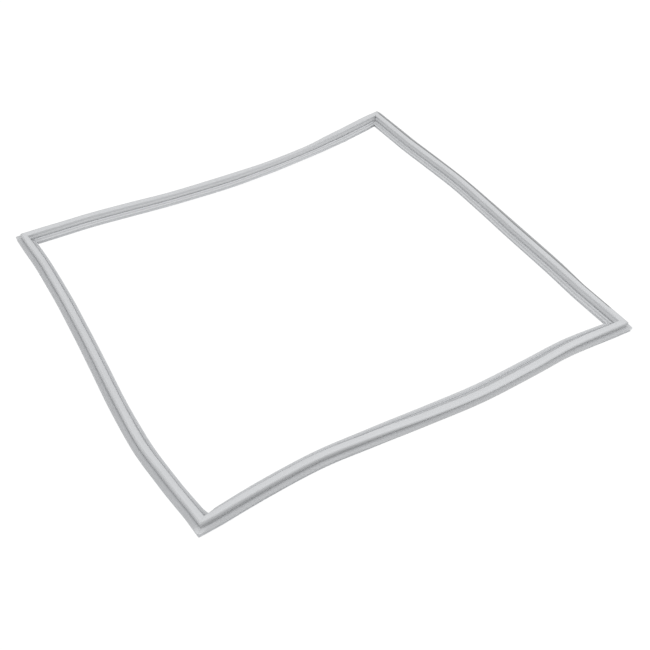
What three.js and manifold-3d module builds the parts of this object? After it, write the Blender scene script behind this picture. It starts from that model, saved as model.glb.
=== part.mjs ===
// A push-in door gasket for a refrigerator, lying face up as it comes out of its carton.
// Millimetres, +Z up. The origin is on the ground, below the middle of the ring.
// Four lengths of one soft PVC profile are mitred and welded into a ring. Each length holds a loose
// magnetic strip. The ring is soft, so its sides sway and lean instead of lying straight.

import * as THREE from 'three';
import { mergeVertices } from 'three/addons/utils/BufferGeometryUtils.js';
import Module from 'manifold-3d';

// Ring, measured over the outer edges of the sealing face while its sides are straight
const ringWidth = 600;
const ringDepth = 600;

// Magnet pocket, whose flat top is the sealing face
const pocketWidth = 8.4;
const pocketHeight = 4.8;
const pocketWall = 0.65;
const pocketEdgeRound = 0.8;
const pocketFootRound = 0.5;

// Bellows neck below the pocket, pinched on the outer side and bulging on the inner side
const neckWidth = 5.8;
const neckHeight = 3.2;
const neckPinch = 0.7;
const neckBulge = 1.5;
const neckWall = 0.6;

// Base plate with a cover lip on each side, and the skirt that stands on the ground under each lip
const lipHeight = 6;
const lipThickness = 1.1;
const outerReach = 6.15;
const innerReach = 9.45;
const innerDrop = 0.9;
const outerFootInset = 1.2;
const innerFootInset = 0;
const skirtInset = 1.7;
const skirtThickness = 1;
const skirtFoot = 0.9;

// Rounded bead along the top of the inner lip, and the low crown between it and the lip's edge
const beadPlace = 4.9;
const beadWidth = 2;
const beadHeight = 0.8;
const crownHeight = 0.6;

// Barbed rib that is pushed into the door's groove
const ribStem = 1.8;
const ribWidth = 5;
const ribBarb = 2.2;
const ribTip = 1.6;
const ribLift = 0.4;

// Magnetic strips
const stripClearance = 0.35;
const stripThickness = 2.6;
const stripEndGap = 1.6;

// Small holes left by the welding jig at each inner corner
const reliefDiameter = 2.8;
const punchDiameter = 2.4;
const punchPlace = 6.2;

// Rings of section points along each side, and the distance of the first one from the corner
const ringsPerSide = 17;
const firstRing = 19;
const curveSteps = 2;

// How each side lies, at equal steps from one corner to the next, going round from the front left.
// sway: how far the pocket is pushed outwards, mm. lean: how far the outer edge tips down, degrees.
// trim: width of the cut that takes the sharp point off the outer lip, mm.
const corners = [
  { name: 'frontLeft', sway: 1.6, lean: -7, trim: 3 },
  { name: 'frontRight', sway: 2.4, lean: 6.5, trim: 6.5 },
  { name: 'backRight', sway: 5.6, lean: -10, trim: 4 },
  { name: 'backLeft', sway: 5.8, lean: -7.5, trim: 7 },
];
const sides = [
  { name: 'front', sway: [-6.7, -10.5, -4.2, 4.5, 9, 6, 0.8], lean: [1, 4, 12.5, 24.5, 29, 27, 18] },
  { name: 'right', sway: [3.8, 5, 6.4, 10.3, 12.6, 9, 5.6], lean: [0.5, -9.5, -12, -8.5, -7, -10.5, -12] },
  { name: 'back', sway: [-5.6, -19.6, -23.5, -20, -15.4, -4.4, 3.6], lean: [1, 20, 16, 3.5, 7, 0, 0] },
  { name: 'left', sway: [2.3, 3, 5.2, 8.8, 12.8, 15.4, 9.9], lean: [-13.5, -13, -16, -16, -17, -10, -13] },
];

const pvcColour = 0xd9dadc;
const magnetColour = 0x3b3634;

const pocketHalf = pocketWidth / 2;
const neckHalf = neckWidth / 2;
const plateBottom = lipHeight - lipThickness;
const pocketBottom = lipHeight + neckHeight;
const sectionHeight = pocketBottom + pocketHeight;
const neckMiddle = lipHeight + neckHeight / 2;

const wasm = await Module();
wasm.setup();

// The magnet pocket's side, from the sealing face down, in (across, up).
function pocketSide(path) {
  path.moveTo(pocketHalf - pocketEdgeRound, sectionHeight);
  path.quadraticCurveTo(pocketHalf, sectionHeight, pocketHalf, sectionHeight - pocketEdgeRound);
  path.lineTo(pocketHalf, pocketBottom + pocketFootRound);
}

// On from the pocket: the pinched neck, down to the level of the outer lip.
function outerNeck(path) {
  path.lineTo(pocketHalf - pocketFootRound, pocketBottom);
  path.lineTo(neckHalf, pocketBottom);
  path.quadraticCurveTo(neckHalf - 2 * neckPinch, neckMiddle, neckHalf, lipHeight);
}

// On from the pocket: the bulging bellows, then the bead on the inner lip and the crown past it.
function innerNeck(path) {
  const bead = pocketHalf + beadPlace;
  const lipTop = lipHeight - innerDrop;
  path.quadraticCurveTo(pocketHalf + 2 * neckBulge, neckMiddle, pocketHalf + neckBulge / 2, lipHeight);
  path.lineTo(bead - beadWidth / 2, lipHeight);
  path.quadraticCurveTo(bead, lipHeight + 2 * beadHeight, bead + beadWidth / 2, lipTop);
  const crown = (bead + beadWidth / 2 + pocketHalf + innerReach) / 2;
  path.lineTo(crown, lipTop + crownHeight);
}

// On from the neck: the lip's edge, the skirt under it, the plate and half of the barbed rib.
function lipAndRib(path, reach, footInset, drop) {
  const edge = pocketHalf + reach;
  const foot = edge - footInset;
  const waist = foot - skirtInset;
  const lipTop = lipHeight - drop;
  const lipUnder = lipTop - lipThickness;
  path.lineTo(edge - lipThickness / 2, lipTop);
  path.lineTo(edge, lipTop - lipThickness / 2);
  path.lineTo(edge - lipThickness / 2, lipUnder);
  path.lineTo(waist, lipUnder);
  path.quadraticCurveTo(waist, skirtFoot, foot, skirtFoot);
  path.lineTo(foot, skirtFoot / 3);
  path.lineTo(foot - skirtFoot / 3, 0);
  path.lineTo(waist, 0);
  path.quadraticCurveTo(waist - skirtThickness, skirtFoot, waist - skirtThickness, plateBottom - drop);
  path.lineTo(ribStem / 2, plateBottom);
  path.lineTo(ribStem / 2, ribLift + ribBarb + ribTip / 2);
  path.lineTo(ribWidth / 2, ribLift + ribBarb);
  path.lineTo(ribTip / 2, ribLift);
}

// The whole outline, clockwise: the outer half downwards, then the inner half back up.
function profileOutline() {
  const outer = new THREE.Path();
  pocketSide(outer);
  outerNeck(outer);
  lipAndRib(outer, outerReach, outerFootInset, 0);
  const inner = new THREE.Path();
  pocketSide(inner);
  innerNeck(inner);
  lipAndRib(inner, innerReach, innerFootInset, innerDrop);
  const mirrored = inner.getPoints(curveSteps).map((point) => new THREE.Vector2(-point.x, point.y));
  return [...outer.getPoints(curveSteps), ...mirrored.reverse()];
}

// The tunnel that holds the magnetic strip.
function pocketTunnel() {
  const half = pocketHalf - pocketWall;
  const low = pocketBottom + pocketWall;
  const high = sectionHeight - pocketWall;
  return boxLoop(half, low, high);
}

// The air chamber inside the neck, pinched and bulging as the neck is.
function neckTunnel() {
  const half = neckHalf - neckWall;
  const low = lipHeight;
  const high = pocketBottom - neckWall / 2;
  const bulge = pocketHalf + neckBulge - 2 * neckWall;
  return [
    new THREE.Vector2(-half, low),
    new THREE.Vector2(-bulge, neckMiddle),
    new THREE.Vector2(-half, high),
    new THREE.Vector2(half, high),
    new THREE.Vector2(half - neckPinch, neckMiddle),
    new THREE.Vector2(half, low),
  ];
}

// The strip's own section, resting on the pocket's floor with a small clearance all round.
function stripSection() {
  const half = pocketHalf - pocketWall - stripClearance;
  const low = pocketBottom + pocketWall + stripClearance;
  return boxLoop(half, low, low + stripThickness);
}

// A rectangle, clockwise from its lower left corner.
function boxLoop(half, low, high) {
  return [
    new THREE.Vector2(-half, low),
    new THREE.Vector2(-half, high),
    new THREE.Vector2(half, high),
    new THREE.Vector2(half, low),
  ];
}

// Value at a share t of a side, on a smooth curve through evenly spaced values that never overshoots.
function smoothValue(values, t) {
  const last = values.length - 1;
  const steps = values.slice(1).map((value, i) => value - values[i]);
  const slope = (i) => {
    if (i === 0) return steps[0];
    if (i === last) return steps[last - 1];
    const product = steps[i - 1] * steps[i];
    return product > 0 ? (2 * product) / (steps[i - 1] + steps[i]) : 0;
  };
  const i = Math.min(Math.floor(t * last), last - 1);
  const x = t * last - i;
  const rise = x * x * (3 - 2 * x);
  const leave = slope(i) * x * (1 - x) ** 2;
  const arrive = slope(i + 1) * x * x * (x - 1);
  return values[i] + (values[i + 1] - values[i]) * rise + leave + arrive;
}

// A ring station: where it is, which way is outwards, and how the profile sways and leans there.
function makeStation(place, outwards, sway, lean, outline) {
  const angle = THREE.MathUtils.degToRad(lean);
  const turned = (point) => {
    const up = point.y - sectionHeight;
    const across = point.x * Math.cos(angle) + up * Math.sin(angle);
    return new THREE.Vector2(across + sway, up * Math.cos(angle) - point.x * Math.sin(angle));
  };
  const ground = Math.min(...outline.map((point) => turned(point).y));
  const at = (point) => {
    const flat = turned(point);
    return new THREE.Vector3(
      place.x + outwards.x * flat.x,
      place.y + outwards.y * flat.x,
      flat.y - ground,
    );
  };
  return { at };
}

// The stations of one side: its first corner, cut along the mitre, then square cuts along the side.
function sideStations(index, outline) {
  const side = sides[index];
  const start = corners[index];
  const end = corners[(index + 1) % corners.length];
  const turn = (index * Math.PI) / 2;
  const direction = new THREE.Vector2(Math.cos(turn), Math.sin(turn));
  const outwards = new THREE.Vector2(Math.sin(turn), -Math.cos(turn));
  const alongHalf = (index % 2 === 0 ? ringWidth : ringDepth) / 2 - pocketHalf;
  const acrossHalf = (index % 2 === 0 ? ringDepth : ringWidth) / 2 - pocketHalf;
  const sways = [start.sway, ...side.sway, end.sway];
  const leans = [start.lean, ...side.lean, end.lean];
  const length = 2 * alongHalf;
  const placeAt = (along) => direction.clone()
    .multiplyScalar(along - alongHalf)
    .addScaledVector(outwards, acrossHalf);
  const mitre = outwards.clone().sub(direction);
  const stations = [makeStation(placeAt(0), mitre, start.sway, start.lean, outline)];
  for (let i = 0; i < ringsPerSide; i += 1) {
    const along = firstRing + ((length - 2 * firstRing) * i) / (ringsPerSide - 1);
    const share = along / length;
    const sway = smoothValue(sways, share);
    const lean = smoothValue(leans, share);
    stations.push(makeStation(placeAt(along), outwards, sway, lean, outline));
  }
  return stations;
}

// Triangles between neighbouring rows of points. Each row is a closed loop.
function bandFaces(rows, perRow, closed) {
  const faces = [];
  const bands = closed ? rows : rows - 1;
  for (let row = 0; row < bands; row += 1) {
    const next = (row + 1) % rows;
    for (let i = 0; i < perRow; i += 1) {
      const j = (i + 1) % perRow;
      const a = row * perRow + i;
      const b = row * perRow + j;
      const c = next * perRow + j;
      const d = next * perRow + i;
      faces.push(a, b, c, a, c, d);
    }
  }
  return faces;
}

function loftGeometry(rows, faces) {
  const geometry = new THREE.BufferGeometry();
  geometry.setFromPoints(rows.flat());
  geometry.setIndex(faces);
  return geometry;
}

// A loop swept all round the ring, as a solid ring.
function sweepLoop(loop, stations) {
  const rows = stations.map((station) => loop.map((point) => station.at(point)));
  return loftGeometry(rows, bandFaces(rows.length, loop.length, true));
}

function toSolid(geometry) {
  const bare = geometry.clone();
  bare.deleteAttribute('normal');
  bare.deleteAttribute('uv');
  const merged = mergeVertices(bare, 1e-4);
  const mesh = new wasm.Mesh({
    numProp: 3,
    vertProperties: new Float32Array(merged.attributes.position.array),
    triVerts: new Uint32Array(merged.index.array),
  });
  return new wasm.Manifold(mesh);
}

function toGeometry(solid) {
  const mesh = solid.getMesh();
  const geometry = new THREE.BufferGeometry();
  geometry.setAttribute('position', new THREE.BufferAttribute(mesh.vertProperties, 3));
  geometry.setIndex(new THREE.BufferAttribute(mesh.triVerts, 1));
  geometry.computeVertexNormals();
  return geometry;
}

// A round pin between two points, to drill a hole with.
function drillPin(from, to, diameter) {
  const axis = to.clone().sub(from);
  const pin = new THREE.CylinderGeometry(diameter / 2, diameter / 2, axis.length(), 8);
  const turn = new THREE.Quaternion().setFromUnitVectors(
    new THREE.Vector3(0, 1, 0),
    axis.clone().normalize(),
  );
  pin.applyQuaternion(turn);
  const middle = from.clone().add(to).multiplyScalar(0.5);
  pin.translate(middle.x, middle.y, middle.z);
  return toSolid(pin);
}

// Both weld holes of a corner: one opens the pocket and the chamber, one goes down through the lip.
function cornerHoles(station) {
  const seam = pocketBottom + pocketWall / 4;
  const relief = drillPin(
    station.at(new THREE.Vector2(-pocketHalf - reliefDiameter, seam)),
    station.at(new THREE.Vector2(0, seam)),
    reliefDiameter,
  );
  const across = -pocketHalf - punchPlace;
  const punch = drillPin(
    station.at(new THREE.Vector2(across, plateBottom - lipThickness)),
    station.at(new THREE.Vector2(across, lipHeight + lipThickness)),
    punchDiameter,
  );
  return [relief, punch];
}

// A block past the outer lip's corner, to cut its point off square to the mitre.
function cornerTrim(station, width) {
  const tip = station.at(new THREE.Vector2(pocketHalf + outerReach, lipHeight));
  const mitre = tip.clone().sub(station.at(new THREE.Vector2(0, lipHeight))).setZ(0).normalize();
  const size = 2 * sectionHeight;
  const block = new THREE.BoxGeometry(size, size, 2 * size);
  block.translate(size / 2 - width / 2, 0, 0);
  block.rotateZ(Math.atan2(mitre.y, mitre.x));
  block.translate(tip.x, tip.y, 0);
  return toSolid(block);
}

function gasketBody(stations, outline) {
  let body = toSolid(sweepLoop(outline, stations));
  body = body.subtract(toSolid(sweepLoop(pocketTunnel(), stations)));
  body = body.subtract(toSolid(sweepLoop(neckTunnel(), stations)));
  const stationsPerSide = ringsPerSide + 1;
  corners.forEach((corner, index) => {
    const station = stations[index * stationsPerSide];
    for (const hole of cornerHoles(station)) {
      body = body.subtract(hole);
    }
    body = body.subtract(cornerTrim(station, corner.trim));
  });
  return toGeometry(body);
}

// A point part of the way from one station to the next.
function between(stationA, stationB, share, point) {
  return stationA.at(point).lerp(stationB.at(point), share);
}

// One strip, from just after its first corner to just before the next one.
function magnetStrip(stations, index) {
  const loop = stripSection();
  const stationsPerSide = ringsPerSide + 1;
  const first = index * stationsPerSide;
  const own = stations.slice(first + 1, first + stationsPerSide);
  const startCorner = stations[first];
  const endCorner = stations[(first + stationsPerSide) % stations.length];
  const endShare = stripEndGap / firstRing;
  const startRow = loop.map((point) => between(startCorner, own[0], endShare, point));
  const endRow = loop.map((point) => between(endCorner, own[own.length - 1], endShare, point));
  const middleRows = own.map((station) => loop.map((point) => station.at(point)));
  const rows = [startRow, ...middleRows, endRow];
  const faces = bandFaces(rows.length, loop.length, false);
  const end = (rows.length - 1) * loop.length;
  faces.push(0, 2, 1, 0, 3, 2);
  faces.push(end, end + 1, end + 2, end, end + 2, end + 3);
  return loftGeometry(rows, faces);
}

function makePiece(name, geometry, colour, roughness) {
  const material = new THREE.MeshStandardMaterial({ color: colour, roughness, metalness: 0 });
  const mesh = new THREE.Mesh(geometry, material);
  mesh.name = name;
  return mesh;
}

const outline = profileOutline();
const stations = sides.flatMap((side, index) => sideStations(index, outline));
const gasket = new THREE.Group();
gasket.add(makePiece('gasket_body', gasketBody(stations, outline), pvcColour, 0.45));
sides.forEach((side, index) => {
  gasket.add(makePiece(`magnet_strip_${side.name}`, magnetStrip(stations, index), magnetColour, 0.8));
});

// The ring is set down with the middle of its outline over the origin.
const box = new THREE.Box3().setFromObject(gasket);
const middle = box.getCenter(new THREE.Vector3());
gasket.position.set(-middle.x, -middle.y, 0);

export default gasket;
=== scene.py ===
import math

import bmesh
import bpy
from mathutils import Matrix, Vector


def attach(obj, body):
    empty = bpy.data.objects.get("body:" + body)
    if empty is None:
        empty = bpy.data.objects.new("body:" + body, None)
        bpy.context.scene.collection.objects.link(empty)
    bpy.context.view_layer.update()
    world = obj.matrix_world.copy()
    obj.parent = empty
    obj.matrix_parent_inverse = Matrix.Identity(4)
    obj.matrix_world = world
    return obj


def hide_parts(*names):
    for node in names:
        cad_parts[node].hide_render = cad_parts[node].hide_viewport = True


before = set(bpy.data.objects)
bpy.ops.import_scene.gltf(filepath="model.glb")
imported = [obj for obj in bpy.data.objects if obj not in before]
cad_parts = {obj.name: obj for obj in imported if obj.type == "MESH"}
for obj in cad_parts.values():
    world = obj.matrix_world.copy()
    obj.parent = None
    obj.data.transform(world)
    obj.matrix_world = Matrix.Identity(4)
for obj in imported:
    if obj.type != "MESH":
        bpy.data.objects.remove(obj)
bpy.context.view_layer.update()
mm = 0.001


def report(text):
    print("stage:", text, flush=True)


# A node's output that takes part in sums. Every operation adds one math node to its tree.
class Value:
    def __init__(self, tree, socket):
        self.tree = tree
        self.socket = socket

    def math(self, operation, *others):
        return self.tree.add("ShaderNodeMath", [self, *others], operation=operation)

    def moved(self, shift):
        return self.tree.add("ShaderNodeVectorMath", [self, shift], operation="ADD")

    def scaled(self, factor):
        return self.tree.add("ShaderNodeVectorMath", {0: self, "Scale": factor}, operation="SCALE")

    def clamped(self):
        return self.tree.add("ShaderNodeClamp", [self])

    def __add__(self, other):
        return self.math("ADD", other)

    def __sub__(self, other):
        return self.math("SUBTRACT", other)

    def __rsub__(self, other):
        return self.tree.add("ShaderNodeMath", [other, self], operation="SUBTRACT")

    def __mul__(self, other):
        return self.math("MULTIPLY", other)

    __radd__ = __add__
    __rmul__ = __mul__


class Tree:
    def __init__(self, nodeTree):
        self.nodeTree = nodeTree

    def add(self, kind, inputs=(), output=0, **settings):
        node = self.nodeTree.nodes.new(kind)
        column, line = len(self.nodeTree.nodes) % 12, len(self.nodeTree.nodes) // 12
        node.location = (column * 190, line * -260)
        for name, setting in settings.items():
            setattr(node, name, setting)
        pairs = inputs.items() if isinstance(inputs, dict) else enumerate(inputs)
        for key, value in pairs:
            if isinstance(value, Value):
                self.nodeTree.links.new(value.socket, node.inputs[key])
            else:
                node.inputs[key].default_value = value
        return Value(self, node.outputs[output]) if node.outputs else node


def newMaterial(name):
    material = bpy.data.materials.new(name)
    material.use_nodes = True
    material.node_tree.nodes.clear()
    return material, Tree(material.node_tree)


def attribute(tree, name):
    return tree.add("ShaderNodeAttribute", output="Fac", attribute_name=name)


def noise(tree, place, scale, detail):
    return tree.add("ShaderNodeTexNoise", {"Vector": place, "Scale": scale, "Detail": detail})


# How far a value has come from low to high, as a share from 0 to 1.
def between(tree, value, low, high):
    return tree.add("ShaderNodeMapRange", {"Value": value, "From Min": low, "From Max": high})


# Sockets 6 and 7 of this node are its two colours, and output 2 is their mix.
def mixColour(tree, factor, first, second):
    inputs = {"Factor": factor, 6: first, 7: second}
    return tree.add("ShaderNodeMix", inputs, output=2, data_type="RGBA")


# Soft PVC. The weights in "tone" pull its colour to the shade, those in "relief" feed its bump. The
# shade colour stands for painted shade where the section's corners and one rim ask for it, and also
# for the darker tone of its random streaks, clouds and weld seams.
pvc = {
    "colour": (0.652, 0.663, 0.679, 1.0),
    "shade": (0.26, 0.265, 0.27, 1.0),
    "tone": {"streaks": 0.08, "clouds": 0.1, "rimShadow": 0.95, "seam": 0.2},
    "roughness": 0.46,
    "roughnessSpread": {"streaks": 0.18, "grain": 0.1},
    "refraction": 1.53,
    "relief": {"streaks": 0.2, "grain": 0.1, "seam": 1.2},
    "bumpStrength": 0.08,
    "bumpDistance": 0.00008,
    "streakScale": 900.0,
    "streakStretch": 0.012,
    "cloudScale": 22.0,
    "grainScale": 1600.0,
    "seamSharpness": 1800.0,
}


def makePvc():
    material, tree = newMaterial("softPvc")
    names = ("arc", "along", "weld", "shade", "rimShadow", "rimShadowSide")
    arc, along, weld, shade, rimShadow, rimShadowSide = [attribute(tree, name) for name in names]
    place = tree.add("ShaderNodeTexCoord", output="Object")
    streakPlace = tree.add("ShaderNodeCombineXYZ", [arc, along * pvc["streakStretch"], 0.0])
    streaks = noise(tree, streakPlace, pvc["streakScale"], 1.0) - 0.5
    clouds = noise(tree, place, pvc["cloudScale"], 2.0) - 0.5
    grain = noise(tree, place, pvc["grainScale"], 2.0) - 0.5
    seam = (1.0 - weld * pvc["seamSharpness"]).clamped()
    tone, spread, relief = pvc["tone"], pvc["roughnessSpread"], pvc["relief"]
    # Painted shade of the section's hollows and walls and the painted shadow line along one rim,
    # mixed with the random streaks and clouds and the darker weld seams.
    dustAndPaintedShade = shade + streaks * tone["streaks"] + clouds * tone["clouds"]
    dustAndPaintedShade = (dustAndPaintedShade + rimShadow * rimShadowSide * tone["rimShadow"] + seam * tone["seam"]).clamped()
    height = streaks * relief["streaks"] + grain * relief["grain"] + seam * relief["seam"]
    bump = tree.add(
        "ShaderNodeBump",
        {"Strength": pvc["bumpStrength"], "Distance": pvc["bumpDistance"], "Height": height},
    )
    shader = tree.add(
        "ShaderNodeBsdfPrincipled",
        {
            "Base Color": mixColour(tree, dustAndPaintedShade, pvc["colour"], pvc["shade"]),
            "Roughness": pvc["roughness"] + streaks * spread["streaks"] + grain * spread["grain"],
            "Normal": bump,
            "IOR": pvc["refraction"],
        },
    )
    tree.add("ShaderNodeOutputMaterial", {"Surface": shader})
    return material


# Bonded ferrite of the magnetic strips.
ferrite = {
    "colour": (0.045, 0.04, 0.038, 1.0),
    "dustAndPaintedShade": (0.10, 0.09, 0.085, 1.0),
    "dustScale": 120.0,
    "dustFrom": 0.45,
    "dustTo": 0.75,
    "roughness": 0.75,
    "roughnessSpread": 0.2,
    "grainScale": 2400.0,
    "bumpStrength": 0.4,
    "bumpDistance": 0.0001,
}


def makeFerrite():
    material, tree = newMaterial("bondedFerrite")
    place = tree.add("ShaderNodeTexCoord", output="Object")
    grain = noise(tree, place, ferrite["grainScale"], 3.0) - 0.5
    dustAndPaintedShade = noise(tree, place, ferrite["dustScale"], 4.0)
    dusty = between(tree, dustAndPaintedShade, ferrite["dustFrom"], ferrite["dustTo"])
    bump = tree.add(
        "ShaderNodeBump",
        {"Strength": ferrite["bumpStrength"], "Distance": ferrite["bumpDistance"], "Height": grain},
    )
    shader = tree.add(
        "ShaderNodeBsdfPrincipled",
        {
            "Base Color": mixColour(tree, dusty, ferrite["colour"], ferrite["dustAndPaintedShade"]),
            "Roughness": ferrite["roughness"] + grain * ferrite["roughnessSpread"],
            "Normal": bump,
        },
    )
    tree.add("ShaderNodeOutputMaterial", {"Surface": shader})
    return material


# The gasket's section, in millimetres across from the pocket's middle and up from the skirts' feet.
# Walls are thicknesses, and a "half" is half of a width.
section = {
    "height": 14.0,
    "pocketHalf": 4.2,
    "pocketBottom": 9.2,
    "pocketWall": 0.65,
    "innerWallLift": 0.5,
    "rimWidth": 1.9,
    "rimFade": 0.6,
    "neckHalf": 2.9,
    "neckPinch": 0.8,
    "neckBulge": 1.5,
    "neckWall": 0.6,
    "neckTunnelShade": 0.3,
    "lipHeight": 6.0,
    "lipThickness": 1.1,
    "lipShadeFrom": 0.6,
    "lipShadeTo": 2.4,
    "outerReach": 6.15,
    "outerFootInset": 1.2,
    "innerReach": 9.45,
    "innerDrop": 0.9,
    "skirtInset": 1.7,
    "skirtThickness": 1.0,
    "skirtFoot": 0.9,
    "beadPlace": 4.9,
    "beadWidth": 2.0,
    "beadHeight": 0.8,
    "crownHeight": 0.6,
    "ribHalf": 0.9,
    "barbHalf": 2.5,
    "barbHeight": 2.2,
    "tipHalf": 0.8,
    "ribLift": 0.4,
    "roundSteps": 3,
    "roundLimit": 0.45,
}


# Corners of each half of the section, from the top down: across, up, how far it is rounded and how
# much painted shade it takes, darker in its hollows, under its bulges and on its walls. Rounding
# takes the tip off a bulge or bead, so its corner stands further out than its surface.
def outerCorners():
    s = section
    middle = (s["pocketBottom"] + s["lipHeight"]) / 2
    return [
        (s["pocketHalf"] - s["rimWidth"] - s["rimFade"], s["height"], 0.1, 0.03),
        (s["pocketHalf"] - s["rimWidth"], s["height"], 0.1, 0.05),
        (s["pocketHalf"], s["height"], 0.8, 0.3),
        (s["pocketHalf"], s["pocketBottom"], 0.5, 0.5),
        (s["neckHalf"], s["pocketBottom"], 0.25, 0.55),
        (s["neckHalf"] - s["neckPinch"], middle, 0.9, 0.64),
        (s["neckHalf"], s["lipHeight"], 0.3, 0.45),
        (s["pocketHalf"] + s["lipShadeFrom"], s["lipHeight"], 0.3, 0.1),
        (s["pocketHalf"] + s["lipShadeTo"], s["lipHeight"], 0.3, 0.12),
        *lipCorners(s["outerReach"], s["outerFootInset"], 0.0, 0.4),
    ]


def innerCorners():
    s = section
    middle = (s["pocketBottom"] + s["lipHeight"]) / 2
    bead = s["pocketHalf"] + s["beadPlace"]
    beadFoot = bead + s["beadWidth"] / 2
    lipTop = s["lipHeight"] - s["innerDrop"]
    crown = (beadFoot + s["pocketHalf"] + s["innerReach"]) / 2
    return [
        (s["pocketHalf"], s["height"], 0.8, 0.08),
        (s["pocketHalf"], s["pocketBottom"] + s["innerWallLift"], 0.8, 0.28),
        (s["pocketHalf"] + 2 * s["neckBulge"], middle, 2.4, 0.42),
        (s["pocketHalf"] + 0.75 * s["neckBulge"], s["lipHeight"], 0.7, 0.05),
        (bead - s["beadWidth"] / 2, s["lipHeight"], 0.5, 0.0),
        (bead, s["lipHeight"] + 2 * s["beadHeight"], 1.1, 0.0),
        (beadFoot, lipTop, 0.4, 0.3),
        (crown, lipTop + s["crownHeight"], 0.9, 0.16),
        *lipCorners(s["innerReach"], 0.0, s["innerDrop"], 0.03),
    ]


# A lip's edge, the skirt under it, the plate and one half of the barbed rib.
def lipCorners(reach, footInset, drop, edgeShade):
    s = section
    edge = s["pocketHalf"] + reach
    foot = edge - footInset
    waist = foot - s["skirtInset"]
    skirtBack = waist - s["skirtThickness"]
    lipTop = s["lipHeight"] - drop
    lipUnder = lipTop - s["lipThickness"]
    plateUnder = s["lipHeight"] - s["lipThickness"]
    barb = s["ribLift"] + s["barbHeight"]
    return [
        (edge, lipTop, 0.5, edgeShade),
        (edge, lipUnder, 0.5, 0.0),
        (waist, lipUnder, 0.5, 0.0),
        (waist, s["skirtFoot"], 1.3, 0.0),
        (foot, s["skirtFoot"], 0.3, 0.0),
        (foot, 0.0, 0.35, 0.0),
        (waist, 0.0, 0.3, 0.0),
        (skirtBack, s["skirtFoot"], 1.1, 0.1),
        (skirtBack, plateUnder - drop, 0.5, 0.3),
        (s["ribHalf"], plateUnder, 0.4, 0.3),
        (s["ribHalf"], barb + s["tipHalf"], 0.25, 0.2),
        (s["barbHalf"], barb, 0.3, 0.0),
        (s["tipHalf"], s["ribLift"], 0.3, 0.0),
    ]


# A closed loop through the corners, each one rounded off by a short curve.
def roundedLoop(corners):
    points = []
    steps, limit = section["roundSteps"], section["roundLimit"]
    for i, (x, y, reach, shade) in enumerate(corners):
        tip = Vector((x, y))
        before = Vector(corners[i - 1][:2]) - tip
        after = Vector(corners[(i + 1) % len(corners)][:2]) - tip
        start = tip + before.normalized() * min(reach, limit * before.length)
        end = tip + after.normalized() * min(reach, limit * after.length)
        for step in range(steps + 1):
            t = step / steps
            point = start.lerp(tip, t).lerp(tip.lerp(end, t), t)
            points.append((point.x, point.y, shade))
    return points


def skinSection():
    inner = [(-x, *rest) for x, *rest in reversed(innerCorners())]
    return roundedLoop(inner + outerCorners())


def pocketSection():
    s = section
    half = s["pocketHalf"] - s["pocketWall"]
    low = s["pocketBottom"] + s["pocketWall"]
    high = s["height"] - s["pocketWall"]
    return [(half, high, 0.0), (half, low, 0.0), (-half, low, 0.0), (-half, high, 0.0)]


def neckSection():
    s = section
    half = s["neckHalf"] - s["neckWall"]
    low = s["lipHeight"]
    high = s["pocketBottom"] - s["neckWall"] / 2
    middle = (low + high) / 2
    places = [
        (half, high),
        (half - s["neckPinch"], middle),
        (half, low),
        (-half, low),
        (-half - 1.4 * s["neckBulge"], middle),
        (-half, high),
    ]
    return [(x, y, s["neckTunnelShade"]) for x, y in places]


# One on the outer edge of the sealing face, where one side carries a painted dark line of shadow.
def rimShadowShare(x, y):
    s = section
    inRim = x > s["pocketHalf"] - s["rimWidth"] - s["rimFade"] / 2
    return 1.0 if inRim and y > (s["height"] + s["pocketBottom"]) / 2 else 0.0


# How the ring lies, walking round from the front left: sways are in millimetres outwards, and leans
# in degrees with the outer edge down. A corner has a sway, a lean and how much of its lip is cut off.
lie = {
    "size": 600.0,
    "middle": (1.571, -1.592),
    "squareFrom": 19.0,
    "rowsPerSide": 96,
    "corners": [(1.6, -7, 3), (2.4, 6.5, 3), (5.6, -10, 4), (5.8, -7.5, 3)],
    "sways": [
        [-6.7, -10.5, -4.2, 4.5, 9, 6, 0.8],
        [3.8, 5, 6.4, 10.3, 12.6, 9, 5.6],
        [-5.6, -19.6, -23.5, -20, -15.4, -4.4, 3.6],
        [2.3, 3, 5.2, 8.8, 12.8, 15.4, 9.9],
    ],
    "leans": [
        [1, 4, 12.5, 24.5, 29, 27, 18],
        [0.5, -9.5, -12, -8.5, -7, -10.5, -12],
        [1, 20, 16, 3.5, 7, 0, 0],
        [-13.5, -13, -16, -16, -17, -10, -13],
    ],
    # The side, and the distance along it, from which the painted shadow line runs along the face's
    # outer rim.
    "rimShadowSide": 1,
    "rimFrom": 30.0,
}


# A smooth curve through evenly spaced values that never overshoots them.
def smoothValue(values, share):
    steps = [b - a for a, b in zip(values, values[1:])]
    last = len(steps)

    def slope(i):
        if i in (0, last):
            return steps[min(i, last - 1)]
        product = steps[i - 1] * steps[i]
        return 2 * product / (steps[i - 1] + steps[i]) if product > 0 else 0.0

    i = min(int(share * last), last - 1)
    x = share * last - i
    rise = values[i] + steps[i] * x * x * (3 - 2 * x)
    return rise + slope(i) * x * (1 - x) ** 2 + slope(i + 1) * x * x * (x - 1)


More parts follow.
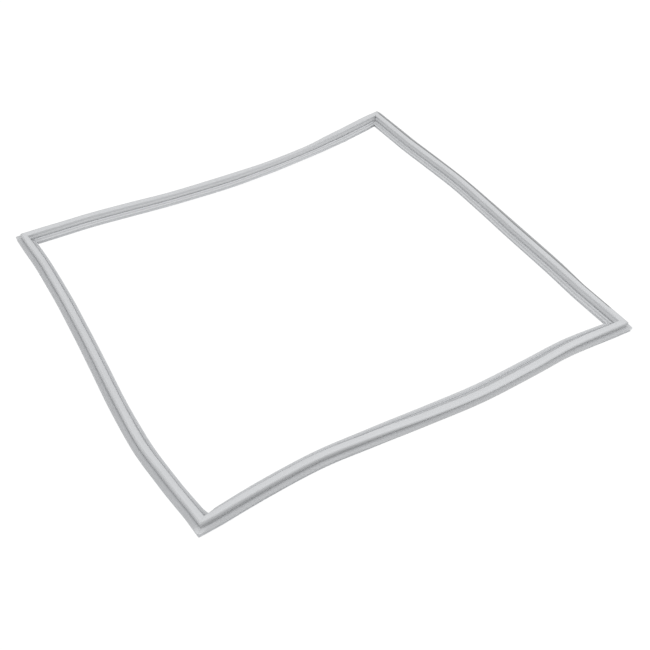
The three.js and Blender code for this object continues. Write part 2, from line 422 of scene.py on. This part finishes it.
# The stations of the sweep, on the pocket's middle line. The outward vector turns to the mitre near
# each corner, and "weld" is how far the nearest corner is.
def layRows():
    rows = []
    half = lie["size"] / 2 - section["pocketHalf"]
    length = 2 * half
    for side in range(4):
        start, end = lie["corners"][side], lie["corners"][(side + 1) % 4]
        sways = [start[0], *lie["sways"][side], end[0]]
        leans = [start[1], *lie["leans"][side], end[1]]
        turn = Matrix.Rotation(side * math.pi / 2, 2)
        direction = turn @ Vector((1, 0))
        outwards = turn @ Vector((0, -1))
        for row in range(lie["rowsPerSide"]):
            along = length * row / lie["rowsPerSide"]
            nearStart = max(0.0, 1 - along / lie["squareFrom"])
            nearEnd = max(0.0, 1 - (length - along) / lie["squareFrom"])
            inRim = side == lie["rimShadowSide"] and along > lie["rimFrom"]
            rows.append({
                "place": direction * (along - half) + outwards * half,
                "outwards": outwards - direction * (nearStart - nearEnd),
                "sway": smoothValue(sways, along / length),
                "lean": math.radians(smoothValue(leans, along / length)),
                "along": along + side * length,
                "weld": min(along, length - along),
                "rimShadowSide": 1.0 if inRim else 0.0,
            })
    return rows


# Where a section point comes, from the section's top middle, once the section leans.
def leaned(point, lean):
    up = point[1] - section["height"]
    across = point[0] * math.cos(lean) + up * math.sin(lean)
    return across, up * math.cos(lean) - point[0] * math.sin(lean)


def ground(row):
    return min(leaned(point, row["lean"])[1] for point in skinPoints)


def pointOnRow(row, point):
    across, up = leaned(point, row["lean"])
    flat = row["place"] + row["outwards"] * (across + row["sway"])
    return Vector((*(flat + Vector(lie["middle"])), up - ground(row))) * mm


def edgeLoop(name, points):
    mesh = bpy.data.meshes.new(name)
    count = len(points)
    mesh.from_pydata(points, [(i, (i + 1) % count) for i in range(count)], [])
    thing = bpy.data.objects.new(name, mesh)
    bpy.context.scene.collection.objects.link(thing)
    return thing


def storeFloats(mesh, name, values):
    mesh.attributes.new(name, "FLOAT", "POINT").data.foreach_set("value", values)


def storeVectors(mesh, name, vectors):
    flat = [part for vector in vectors for part in vector]
    mesh.attributes.new(name, "FLOAT_VECTOR", "POINT").data.foreach_set("vector", flat)


def makeRoute(rows):
    middle = Vector(lie["middle"])
    places = [(*((row["place"] + middle) * mm), 0.0) for row in rows]
    route = edgeLoop("route", places)
    storeVectors(route.data, "place", places)
    storeVectors(route.data, "outwards", [(*row["outwards"], 0.0) for row in rows])
    storeFloats(route.data, "ground", [ground(row) * mm for row in rows])
    for name in ("sway", "along", "weld"):
        storeFloats(route.data, name, [row[name] * mm for row in rows])
    for name in ("lean", "rimShadowSide"):
        storeFloats(route.data, name, [row[name] for row in rows])
    return route


def makeLoop(name, points):
    loop = edgeLoop(name, [(x * mm, y * mm, 0.0) for x, y, shade in points])
    arcs = [0.0]
    for a, b in zip(points, points[1:]):
        arcs.append(arcs[-1] + math.dist(a[:2], b[:2]))
    storeFloats(loop.data, "across", [x * mm for x, y, shade in points])
    storeFloats(loop.data, "up", [y * mm for x, y, shade in points])
    storeFloats(loop.data, "arc", [arc * mm for arc in arcs])
    storeFloats(loop.data, "shade", [shade for x, y, shade in points])
    storeFloats(loop.data, "rimShadow", [rimShadowShare(x, y) for x, y, shade in points])
    return loop


def named(tree, name, kind="FLOAT"):
    return tree.add("GeometryNodeInputNamedAttribute", {"Name": name}, data_type=kind)


# Sweeps a section along the route, leaning, swaying and set on the ground by the route's attributes.
def sweepGroup():
    group = bpy.data.node_groups.new("leaningSweep", "GeometryNodeTree")
    face = group.interface
    face.new_socket("Route", in_out="INPUT", socket_type="NodeSocketGeometry")
    face.new_socket("Section", in_out="INPUT", socket_type="NodeSocketObject")
    face.new_socket("Section Height", in_out="INPUT", socket_type="NodeSocketFloat")
    face.new_socket("Material", in_out="INPUT", socket_type="NodeSocketMaterial")
    face.new_socket("Mesh", in_out="OUTPUT", socket_type="NodeSocketGeometry")
    tree = Tree(group)
    source = group.nodes.new("NodeGroupInput")
    inputs = {socket.name: Value(tree, socket) for socket in source.outputs if socket.name}
    path = tree.add("GeometryNodeMeshToCurve", [inputs["Route"]])
    sectionMesh = tree.add("GeometryNodeObjectInfo", [inputs["Section"]], output="Geometry")
    loop = tree.add("GeometryNodeMeshToCurve", [sectionMesh])
    swept = tree.add("GeometryNodeCurveToMesh", {"Curve": path, "Profile Curve": loop})
    lean = named(tree, "lean")
    across = named(tree, "across")
    up = named(tree, "up") - inputs["Section Height"]
    sine = lean.math("SINE")
    cosine = lean.math("COSINE")
    outwardShift = across * cosine + up * sine + named(tree, "sway")
    height = up * cosine - across * sine - named(tree, "ground")
    outwards = named(tree, "outwards", "FLOAT_VECTOR").scaled(outwardShift)
    lift = tree.add("ShaderNodeCombineXYZ", [0.0, 0.0, height])
    place = named(tree, "place", "FLOAT_VECTOR").moved(outwards).moved(lift)
    moved = tree.add("GeometryNodeSetPosition", {"Geometry": swept, "Position": place})
    real = tree.add("GeometryNodeRealizeInstances", [moved])
    painted = tree.add("GeometryNodeSetMaterial", {"Geometry": real, "Material": inputs["Material"]})
    tree.add("NodeGroupOutput", [painted])
    return group


# Runs the sweep on a copy of the route and returns the result as a plain mesh object.
def sweep(name, group, route, loop, material):
    thing = bpy.data.objects.new(name, route.data.copy())
    bpy.context.scene.collection.objects.link(thing)
    modifier = thing.modifiers.new("sweep", "NODES")
    modifier.node_group = group
    values = {"Section": loop, "Section Height": section["height"] * mm, "Material": material}
    for item in group.interface.items_tree:
        if item.in_out == "INPUT" and item.name in values:
            modifier[item.identifier] = values[item.name]
    bakeModifiers(thing)
    orient(thing.data)
    return thing


def bakeModifiers(thing):
    bpy.context.view_layer.update()
    solid = thing.evaluated_get(bpy.context.evaluated_depsgraph_get())
    mesh = bpy.data.meshes.new_from_object(solid)
    thing.modifiers.clear()
    thing.data = mesh


skin = {"mergeDistance": 1e-7, "sharpAngle": 38.0}


# Merges doubles and turns all faces outwards.
def orient(mesh):
    work = bmesh.new()
    work.from_mesh(mesh)
    bmesh.ops.remove_doubles(work, verts=work.verts, dist=skin["mergeDistance"])
    bmesh.ops.recalc_face_normals(work, faces=work.faces)
    if work.calc_volume(signed=True) < 0:
        bmesh.ops.reverse_faces(work, faces=work.faces)
    work.to_mesh(mesh)
    work.free()


# What is cut out at each corner: a relief into the pocket, a hole through the inner lip and the
# outer lip's point.
corner = {
    "reliefWidth": 2.0,
    "punchWidth": 2.4,
    "punchPlace": 6.2,
    "pinSides": 24,
    "trimHeight": 28.0,
}


def pin(start, end, width):
    axis = end - start
    work = bmesh.new()
    turn = axis.to_track_quat("Z", "Y").to_matrix().to_4x4()
    turn.translation = (start + end) / 2
    bmesh.ops.create_cone(
        work,
        cap_ends=True,
        segments=corner["pinSides"],
        radius1=width * mm / 2,
        radius2=width * mm / 2,
        depth=axis.length,
        matrix=turn,
    )
    return work


def trimBlock(row, width):
    tip = pointOnRow(row, (section["pocketHalf"] + section["outerReach"], section["lipHeight"]))
    middle = pointOnRow(row, (0.0, section["lipHeight"]))
    mitre = ((tip - middle) * Vector((1, 1, 0))).normalized()
    size = corner["trimHeight"] * mm
    work = bmesh.new()
    shift = Matrix.Translation(Vector((tip.x, tip.y, 0)) + mitre * (size - width * mm) / 2)
    turn = Matrix.Rotation(math.atan2(mitre.y, mitre.x), 4, "Z")
    bmesh.ops.create_cube(work, size=size, matrix=shift @ turn)
    return work


def cornerCutters(rows):
    s = section
    cutters = []
    reliefUp = s["pocketBottom"] + s["pocketWall"] / 4
    reliefAcross = -s["pocketHalf"] - corner["reliefWidth"]
    punchAcross = -s["pocketHalf"] - corner["punchPlace"]
    for index, (sway, lean, trim) in enumerate(lie["corners"]):
        row = rows[index * lie["rowsPerSide"]]
        outside = pointOnRow(row, (reliefAcross, reliefUp))
        cutters.append(pin(outside, pointOnRow(row, (0.0, reliefUp)), corner["reliefWidth"]))
        low = pointOnRow(row, (punchAcross, s["lipHeight"] - 2 * s["lipThickness"]))
        high = pointOnRow(row, (punchAcross, s["lipHeight"] + s["lipThickness"]))
        cutters.append(pin(low, high, corner["punchWidth"]))
        cutters.append(trimBlock(row, trim))
    return cutters


def joined(name, parts):
    whole = bmesh.new()
    for part in parts:
        bmesh.ops.recalc_face_normals(part, faces=part.faces)
        mesh = bpy.data.meshes.new("part")
        part.to_mesh(mesh)
        part.free()
        whole.from_mesh(mesh)
        bpy.data.meshes.remove(mesh)
    mesh = bpy.data.meshes.new(name)
    whole.to_mesh(mesh)
    whole.free()
    thing = bpy.data.objects.new(name, mesh)
    bpy.context.scene.collection.objects.link(thing)
    return thing


def cutAway(thing, cutter):
    modifier = thing.modifiers.new("cut", "BOOLEAN")
    modifier.operation = "DIFFERENCE"
    modifier.solver = "MANIFOLD"
    modifier.object = cutter
    bakeModifiers(thing)


pvcMaterial = makePvc()
ferriteMaterial = makeFerrite()
report("materials")

skinPoints = skinSection()
rows = layRows()
route = makeRoute(rows)
loops = {
    "gasketSkin": makeLoop("outerLoop", skinPoints),
    "pocketTunnel": makeLoop("pocketLoop", pocketSection()),
    "neckTunnel": makeLoop("neckLoop", neckSection()),
}
group = sweepGroup()
gasket, pocketTunnel, neckTunnel = [
    sweep(name, group, route, loop, pvcMaterial) for name, loop in loops.items()
]
report("sweeps")

cutters = joined("cutters", cornerCutters(rows))
for cutter in (pocketTunnel, neckTunnel, cutters):
    cutAway(gasket, cutter)
for helper in (route, pocketTunnel, neckTunnel, cutters, *loops.values()):
    bpy.data.objects.remove(helper)
gasket.data.materials.clear()
gasket.data.materials.append(pvcMaterial)
gasket.data.shade_smooth()
gasket.data.set_sharp_from_angle(angle=math.radians(skin["sharpAngle"]))
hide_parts("gasket_body")
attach(gasket, "root")
report("gasket skin, %d faces" % len(gasket.data.polygons))

for name in ("front", "right", "back", "left"):
    strip = bpy.data.objects["magnet_strip_" + name]
    for slot in strip.material_slots:
        slot.material = ferriteMaterial
report("magnetic strips")

# Floor, world and lamps. Each lamp has a place and a power, and aims at the ring's middle.
studio = {
    "floorColour": (0.68, 0.68, 0.68, 1.0),
    "floorRoughness": 0.9,
    "floorWhite": 0.88,
    "floorGlow": 1.1,
    "floorSize": 8.0,
    "floorDrop": 0.0002,
    "white": (1.0, 1.0, 1.0, 1.0),
    "worldLight": 0.69,
    "lampSize": 1.4,
    "lamps": {
        "above": ((0.0, 0.0, 2.4), 7.3),
        "left": ((-2.175, 0.0, 1.014), 12.3),
        "frontRight": ((1.538, -1.538, 1.014), 12.0),
    },
}


# One for the rays that see the white background: from the camera, off a shine or through glass.
def whiteRays(tree):
    camera = tree.add("ShaderNodeLightPath", output="Is Camera Ray")
    glossy = tree.add("ShaderNodeLightPath", output="Is Glossy Ray")
    through = tree.add("ShaderNodeLightPath", output="Is Transmission Ray")
    return (camera + glossy + through).clamped()


# The part of the floor that isn't glow still takes the gasket's shadow.
def makeFloor():
    material, tree = newMaterial("paleFloor")
    shader = tree.add(
        "ShaderNodeBsdfPrincipled",
        {"Base Color": studio["floorColour"], "Roughness": studio["floorRoughness"]},
    )
    glow = tree.add(
        "ShaderNodeEmission", {"Color": studio["white"], "Strength": studio["floorGlow"]}
    )
    seen = whiteRays(tree) * studio["floorWhite"]
    mixed = tree.add("ShaderNodeMixShader", [seen, shader, glow])
    tree.add("ShaderNodeOutputMaterial", {"Surface": mixed})
    work = bmesh.new()
    drop = Matrix.Translation((0, 0, -studio["floorDrop"]))
    bmesh.ops.create_grid(work, x_segments=2, y_segments=2, size=studio["floorSize"], matrix=drop)
    mesh = bpy.data.meshes.new("floor")
    work.to_mesh(mesh)
    work.free()
    mesh.materials.append(material)
    floor = bpy.data.objects.new("floor", mesh)
    bpy.context.scene.collection.objects.link(floor)


def makeLamp(name, place, power):
    lamp = bpy.data.lights.new(name, "AREA")
    lamp.shape = "DISK"
    lamp.size = studio["lampSize"]
    lamp.energy = power
    thing = bpy.data.objects.new(name, lamp)
    thing.location = place
    thing.rotation_euler = (-Vector(place)).to_track_quat("-Z", "Y").to_euler()
    bpy.context.scene.collection.objects.link(thing)


def makeWorld():
    world = bpy.data.worlds.new("studio")
    world.use_nodes = True
    world.node_tree.nodes.clear()
    tree = Tree(world.node_tree)
    light, white = [
        tree.add("ShaderNodeBackground", {"Color": studio["white"], "Strength": strength})
        for strength in (studio["worldLight"], 1.0)
    ]
    both = tree.add("ShaderNodeMixShader", [whiteRays(tree), light, white])
    tree.add("ShaderNodeOutputWorld", {"Surface": both})
    bpy.context.scene.world = world


# Solved from the four corners and the outline of the photograph. The first three are the camera's
# axes, and "ringMiddle" is where the ring's middle lies along them, in millimetres.
view = {
    "right": (0.86458696, -0.50119918, -0.03589945),
    "down": (-0.36259221, -0.57283081, -0.73511343),
    "forward": (0.34787394, 0.64858635, -0.67699297),
    "ringMiddle": (-24.758, -66.645, 1425.327),
    "focal": 1043.6,
    "pixels": 650,
    "sensor": 36.0,
    "nearest": 0.01,
    "farthest": 50.0,
}


def makeCamera():
    right, down, forward = [Vector(view[name]) for name in ("right", "down", "forward")]
    away = Vector(view["ringMiddle"])
    place = -(right * away.x + down * away.y + forward * away.z)
    place += Vector((*lie["middle"], section["height"]))
    turn = Matrix((right, -down, -forward)).transposed()
    lens = bpy.data.cameras.new("camera")
    lens.sensor_width = view["sensor"]
    lens.lens = view["focal"] / view["pixels"] * view["sensor"]
    lens.clip_start = view["nearest"]
    lens.clip_end = view["farthest"]
    camera = bpy.data.objects.new("camera", lens)
    camera.matrix_world = Matrix.Translation(place * mm) @ turn.to_4x4()
    bpy.context.scene.collection.objects.link(camera)
    bpy.context.scene.camera = camera


makeFloor()
makeWorld()
for name, (place, power) in studio["lamps"].items():
    makeLamp(name, place, power)
makeCamera()
bpy.context.scene.view_settings.view_transform = "Standard"
report("studio")
